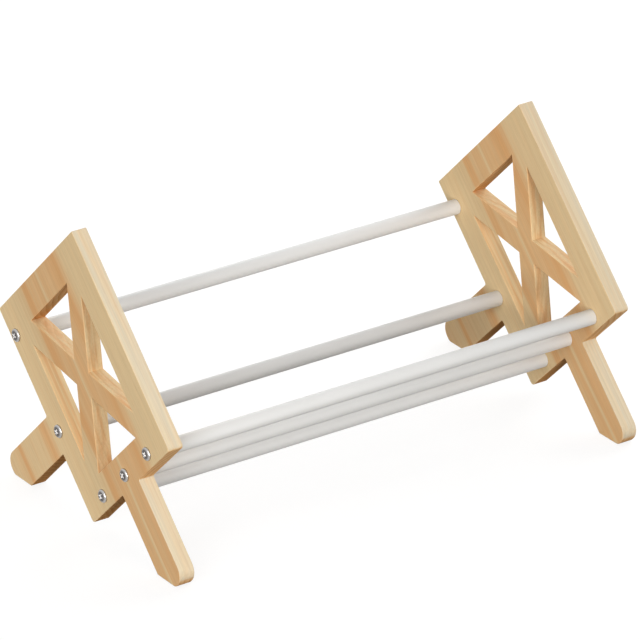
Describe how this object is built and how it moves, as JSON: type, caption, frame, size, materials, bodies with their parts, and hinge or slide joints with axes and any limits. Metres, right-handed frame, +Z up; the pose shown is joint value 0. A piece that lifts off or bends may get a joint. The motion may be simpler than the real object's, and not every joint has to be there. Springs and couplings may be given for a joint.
{
  "type": "desktop book rack",
  "caption": "Sloping desktop rack for a row of books: two wooden side panels with X windows and legs, joined by round tubes to stand on and lean against.",
  "frame": {"origin": "centre of the rack's footprint, on the surface that its feet stand on", "axes": "+X along the tubes from the left panel to the right one, +Y from the open front to the rear, +Z up; the boards lean back by 45 degrees about X"},
  "size_m": [0.4866, 0.2782, 0.2699],
  "materials": {
    "pine": "clear satin varnish on pale knot-free pine",
    "white_paint": "smooth semi-gloss white powder coat",
    "bright_nickel": "bright nickel plate",
    "zinc_plate": "dull zinc plate"
  },
  "bodies": {
    "root": {"side_panel_left": "pine", "side_panel_right": "pine", "seat_tube_front": "white_paint", "seat_tube_middle": "white_paint", "seat_tube_rear": "white_paint", "back_tube_lower": "white_paint", "back_tube_upper": "white_paint", "plug_left_seat_tube_front": "zinc_plate", "plug_left_seat_tube_middle": "zinc_plate", "plug_left_seat_tube_rear": "zinc_plate", "plug_left_back_tube_lower": "zinc_plate", "plug_left_back_tube_upper": "zinc_plate", "plug_right_seat_tube_front": "zinc_plate", "plug_right_seat_tube_middle": "zinc_plate", "plug_right_seat_tube_rear": "zinc_plate", "plug_right_back_tube_lower": "zinc_plate", "plug_right_back_tube_upper": "zinc_plate", "screw_left_seat_tube_front": "bright_nickel", "screw_left_seat_tube_middle": "bright_nickel", "screw_left_seat_tube_rear": "bright_nickel", "screw_left_back_tube_lower": "bright_nickel", "screw_left_back_tube_upper": "bright_nickel", "screw_right_seat_tube_front": "bright_nickel", "screw_right_seat_tube_middle": "bright_nickel", "screw_right_seat_tube_rear": "bright_nickel", "screw_right_back_tube_lower": "bright_nickel", "screw_right_back_tube_upper": "bright_nickel"}
  },
  "joints": []
}
